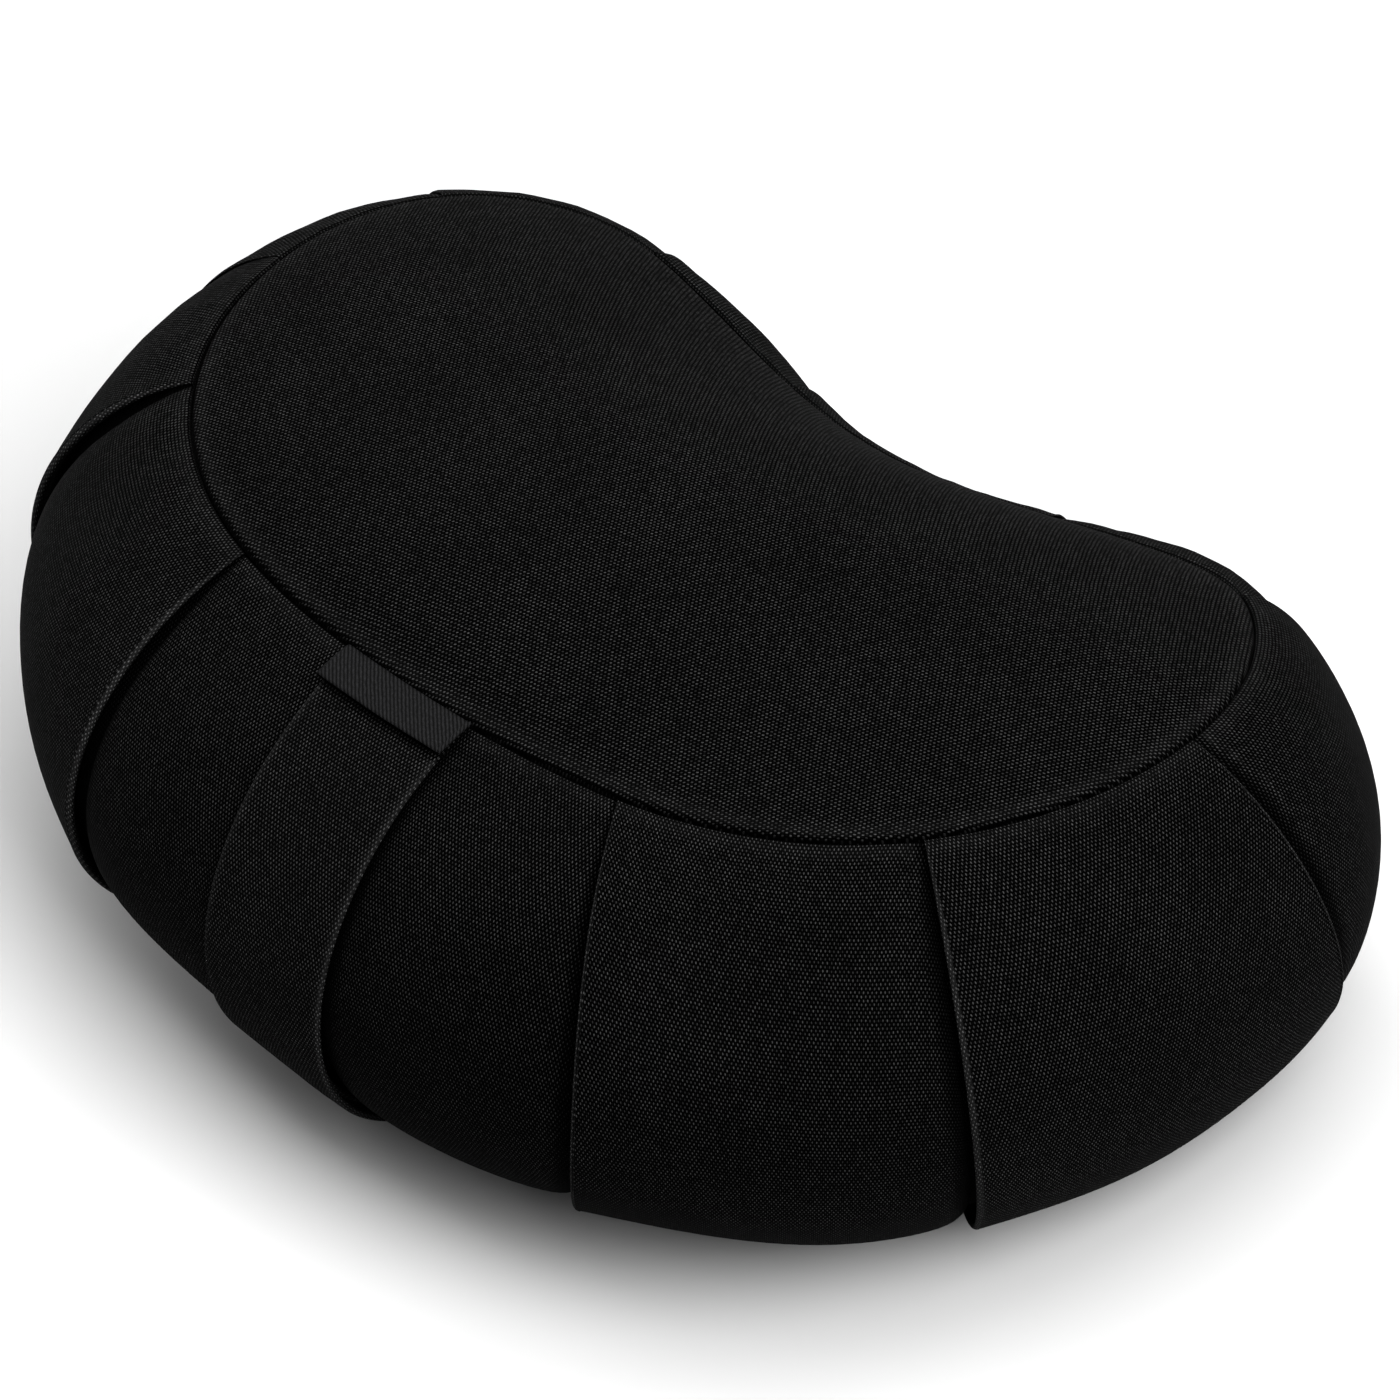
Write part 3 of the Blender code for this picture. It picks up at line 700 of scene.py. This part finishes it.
def canvasMaterial():
    # plain weave cotton, piece-dyed black: matt, each raised thread a grey dot, soft fibres and a painted
    # highlight along the folds, painted shade in creases and seams
    material, tree, shader = newMaterial("black cotton canvas")
    cloth = addNode(tree, "ShaderNodeUVMap", uv_map="clothMap").outputs["UV"]
    waver = addNode(tree, "ShaderNodeTexNoise",
                    {"Vector": cloth, "Scale": canvas["waverScale"], "Detail": 2.0})
    drawn = addNode(tree, "ShaderNodeVectorMath", {0: waver.outputs["Color"], 1: (0.5, 0.5, 0.5)},
                    operation="SUBTRACT")
    pulled = addNode(tree, "ShaderNodeVectorMath",
                     {0: drawn.outputs[0], 1: (canvas["waver"],) * 3, 2: cloth}, operation="MULTIPLY_ADD")
    threads = addNode(tree, "ShaderNodeVectorMath",
                      {0: pulled.outputs[0], 1: (canvas["warp"], canvas["weft"], 1.0)}, operation="DIVIDE")
    halfTurns = addNode(tree, "ShaderNodeVectorMath",
                        {0: threads.outputs[0], 1: (math.pi, math.pi, 1.0)}, operation="MULTIPLY")
    wave = addNode(tree, "ShaderNodeVectorMath",
                   {0: halfTurns.outputs[0], 1: (math.pi / 2, math.pi / 2, 0.0)}, operation="ADD")
    wave = addNode(tree, "ShaderNodeVectorMath", {0: wave.outputs[0]}, operation="SINE")
    axes = addNode(tree, "ShaderNodeSeparateXYZ", {"Vector": wave.outputs[0]})
    # +1 where a warp thread lies on top, -1 where a weft thread does
    crossing = addNode(tree, "ShaderNodeMath",
                       {0: axes.outputs["X"], 1: axes.outputs["Y"]}, operation="MULTIPLY")
    warpTop, weftTop = (
        addNode(tree, "ShaderNodeMapRange",
                {"Value": crossing.outputs[0], 1: side * canvas["topFrom"], 2: side * canvas["topTo"]},
                interpolation_type="SMOOTHSTEP") for side in (1, -1))
    half = addNode(tree, "ShaderNodeVectorMath", {0: threads.outputs[0], 1: (0.5, 0.5, 0.0)}, operation="ADD")
    cell = addNode(tree, "ShaderNodeVectorMath", {0: half.outputs[0]}, operation="FLOOR")
    chance = addNode(tree, "ShaderNodeTexWhiteNoise", {"Vector": cell.outputs[0]}, noise_dimensions="2D")
    thread = addNode(tree, "ShaderNodeMapRange",
                     {"Value": chance.outputs["Value"], 3: canvas["threadFrom"], 4: canvas["threadTo"]})
    fleck = addNode(tree, "ShaderNodeTexNoise",
                    {"Vector": cloth, "Scale": canvas["fleckScale"], "Detail": 4.0, "Roughness": 0.7})
    fleck = addNode(tree, "ShaderNodeMapRange",
                    {"Value": fleck.outputs["Fac"], 1: canvas["noiseFrom"], 2: canvas["noiseTo"],
                     3: canvas["fleckFrom"], 4: canvas["fleckTo"]})
    patch = addNode(tree, "ShaderNodeTexNoise",
                    {"Vector": cloth, "Scale": canvas["patchScale"], "Detail": 3.0, "Roughness": 0.55})
    patch = addNode(tree, "ShaderNodeMapRange",
                    {"Value": patch.outputs["Fac"], 1: canvas["noiseFrom"], 2: canvas["noiseTo"],
                     3: canvas["patchFrom"], 4: canvas["patchTo"]})
    # the wear mark paints light and shade into the colour: below 0 painted shade darkens it, above 0 it is
    # brightened and fuzz added as rubbing and painted highlight
    wearAndPaintedLight = addNode(tree, "ShaderNodeAttribute", attribute_name="wearAndPaintedLight")
    wearAndShadeFactor = addNode(tree, "ShaderNodeMath", {0: wearAndPaintedLight.outputs["Fac"], 1: canvas["wearAndPaintedLight"], 2: 1.0},
                     operation="MULTIPLY_ADD")
    wearAndHighlightPart = addNode(tree, "ShaderNodeMath", {0: wearAndPaintedLight.outputs["Fac"], 1: 0.0}, operation="MAXIMUM")
    uneven = thread
    for factor in (fleck, patch, wearAndShadeFactor):
        uneven = addNode(tree, "ShaderNodeMath",
                         {0: uneven.outputs[0], 1: factor.outputs[0]}, operation="MULTIPLY")
    base = addNode(tree, "ShaderNodeMix",
                   {0: weftTop.outputs[0], 6: linear(canvas["gap"]), 7: linear(canvas["under"])},
                   data_type="RGBA")
    colour = addNode(tree, "ShaderNodeMix",
                     {0: warpTop.outputs[0], 6: base.outputs[2], 7: linear(canvas["over"])}, data_type="RGBA")
    shaded = addNode(tree, "ShaderNodeMix", {0: 1.0, 6: colour.outputs[2], 7: uneven.outputs[0]},
                     data_type="RGBA", blend_type="MULTIPLY")
    withFuzzAndHighlight = addNode(tree, "ShaderNodeVectorMath",
                     {0: wearAndHighlightPart.outputs[0], 1: linear(canvas["fuzzAndHighlight"])[:3], 2: shaded.outputs[2]},
                     operation="MULTIPLY_ADD")
    height = addNode(tree, "ShaderNodeMath",
                     {0: weftTop.outputs[0], 1: canvas["weftHeight"], 2: warpTop.outputs[0]},
                     operation="MULTIPLY_ADD")
    bump = addNode(tree, "ShaderNodeBump",
                   {"Height": height.outputs[0], "Strength": canvas["bump"],
                    "Distance": canvas["bumpMm"] * mm})
    tree.links.new(withFuzzAndHighlight.outputs[0], shader.inputs["Base Color"])
    tree.links.new(bump.outputs["Normal"], shader.inputs["Normal"])
    shader.inputs["Roughness"].default_value = canvas["rough"]
    shader.inputs["Specular IOR Level"].default_value = canvas["spec"]
    shader.inputs["IOR"].default_value = canvas["ior"]
    shader.inputs["Sheen Weight"].default_value = canvas["sheen"]
    shader.inputs["Sheen Roughness"].default_value = canvas["sheenRough"]
    return material


tape = {
    "ribs": 0.80, "waveBand": math.tau / 20,           # satin ribs are 0.3 mm apart, drawn coarser to show
    "low": "#060606", "high": "#232324", "rough": 0.64, "spec": 0.05, "ior": 1.20, "bumpMm": 0.08,
}


def tapeMaterial():
    # satin-woven polyester tape: smooth filament yarn with fine slanting ribs and a soft gloss
    material, tree, shader = newMaterial("satin woven polyester tape")
    cloth = addNode(tree, "ShaderNodeUVMap", uv_map="clothMap").outputs["UV"]
    ribs = addNode(tree, "ShaderNodeTexWave", {"Vector": cloth, "Scale": tape["waveBand"] / tape["ribs"],
                                               "Distortion": 1.2, "Detail": 2.0, "Detail Scale": 1.5},
                   bands_direction="DIAGONAL")
    fleck = addNode(tree, "ShaderNodeTexNoise", {"Vector": cloth, "Scale": 0.9, "Detail": 3.0})
    mixed = addNode(tree, "ShaderNodeMath",
                    {0: ribs.outputs["Fac"], 1: fleck.outputs["Fac"]}, operation="MULTIPLY")
    colour = addNode(tree, "ShaderNodeMix",
                     {0: mixed.outputs[0], 6: linear(tape["low"]), 7: linear(tape["high"])}, data_type="RGBA")
    bump = addNode(tree, "ShaderNodeBump", {"Height": ribs.outputs["Fac"], "Distance": tape["bumpMm"] * mm})
    tree.links.new(colour.outputs[2], shader.inputs["Base Color"])
    tree.links.new(bump.outputs["Normal"], shader.inputs["Normal"])
    shader.inputs["Roughness"].default_value = tape["rough"]
    shader.inputs["Specular IOR Level"].default_value = tape["spec"]
    shader.inputs["IOR"].default_value = tape["ior"]
    return material


print("materials")
canvasCloth = canvasMaterial()
satinTape = tapeMaterial()
print("cushion")
buildWall(canvasCloth)
buildTopPanel(canvasCloth)
buildBasePanel(canvasCloth)
buildStrap(canvasCloth)
buildLabel(satinTape)

# floor, light and camera
print("studio")
studio = {"floorSize": 12.0, "floorColour": "#b4b4b4", "floorRough": 0.9, "fill": 0.06, "aimHeight": 0.08}
bpy.ops.object.select_all(action="DESELECT")
bpy.ops.mesh.primitive_plane_add(size=studio["floorSize"], location=(0, 0, 0))
floor = bpy.context.object
floor.name = "floor"
floorMaterial, floorTree, floorShader = newMaterial("white studio floor")   # matt painted board
floorShader.inputs["Base Color"].default_value = linear(studio["floorColour"])
floorShader.inputs["Roughness"].default_value = studio["floorRough"]
floor.data.materials.append(floorMaterial)

world = bpy.data.worlds.new("studio")
world.use_nodes = True
seen = addNode(world.node_tree, "ShaderNodeLightPath").outputs["Is Camera Ray"]
# white behind the floor, faint fill light
glow = addNode(world.node_tree, "ShaderNodeMapRange", {"Value": seen, 3: studio["fill"], 4: 1.0})
world.node_tree.links.new(glow.outputs[0], world.node_tree.nodes["Background"].inputs["Strength"])
world.node_tree.nodes["Background"].inputs["Color"].default_value = (1, 1, 1, 1)
bpy.context.scene.world = world

lamps = (
    {"name": "overhead", "place": (0.0, 0.0, 2.4), "size": 2.0, "watts": 74.0},
    {"name": "upperRight", "place": (1.65, -0.2, 1.8), "size": 1.6, "watts": 108.0},
    {"name": "left", "place": (-2.25, 0.1, 0.9), "size": 1.6, "watts": 46.0},
    {"name": "upperBack", "place": (0.2, 1.6, 1.9), "size": 1.6, "watts": 14.0},
)
for lamp in lamps:
    data = bpy.data.lights.new(lamp["name"], "AREA")
    data.size = lamp["size"]
    data.energy = lamp["watts"]
    lampObject = bpy.data.objects.new(lamp["name"], data)
    lampObject.location = lamp["place"]
    aim = Vector((0, 0, studio["aimHeight"])) - Vector(lamp["place"])
    lampObject.rotation_euler = aim.to_track_quat("-Z", "Y").to_euler()
    bpy.context.scene.collection.objects.link(lampObject)

view = {
    "azimuth": 47.43, "elevation": 42.30, "roll": -4.59, "distance": 2.5057, "aimHeight": 0.070,
    "sensor": 36, "lens": 217.65, "right": -0.00322, "up": -0.00195, "near": 0.1, "far": 30,
}
az, el, roll = (math.radians(view[k]) for k in ("azimuth", "elevation", "roll"))
right = Vector((math.cos(az), math.sin(az), 0))
back = Vector((math.sin(az) * math.cos(el), -math.cos(az) * math.cos(el), math.sin(el)))
up = back.cross(right)
right, up = right * math.cos(roll) + up * math.sin(roll), up * math.cos(roll) - right * math.sin(roll)
cameraData = bpy.data.cameras.new("camera")
cameraData.sensor_width = view["sensor"]
cameraData.lens = view["lens"]
cameraData.clip_start, cameraData.clip_end = view["near"], view["far"]
camera = bpy.data.objects.new("camera", cameraData)
target = Vector((shift[0], shift[1], view["aimHeight"]))
place = target + back * view["distance"] + right * view["right"] + up * view["up"]
camera.matrix_world = Matrix.Translation(place) @ Matrix((right, up, back)).transposed().to_4x4()
bpy.context.scene.collection.objects.link(camera)
bpy.context.scene.camera = camera
bpy.context.scene.view_settings.view_transform = "Standard"
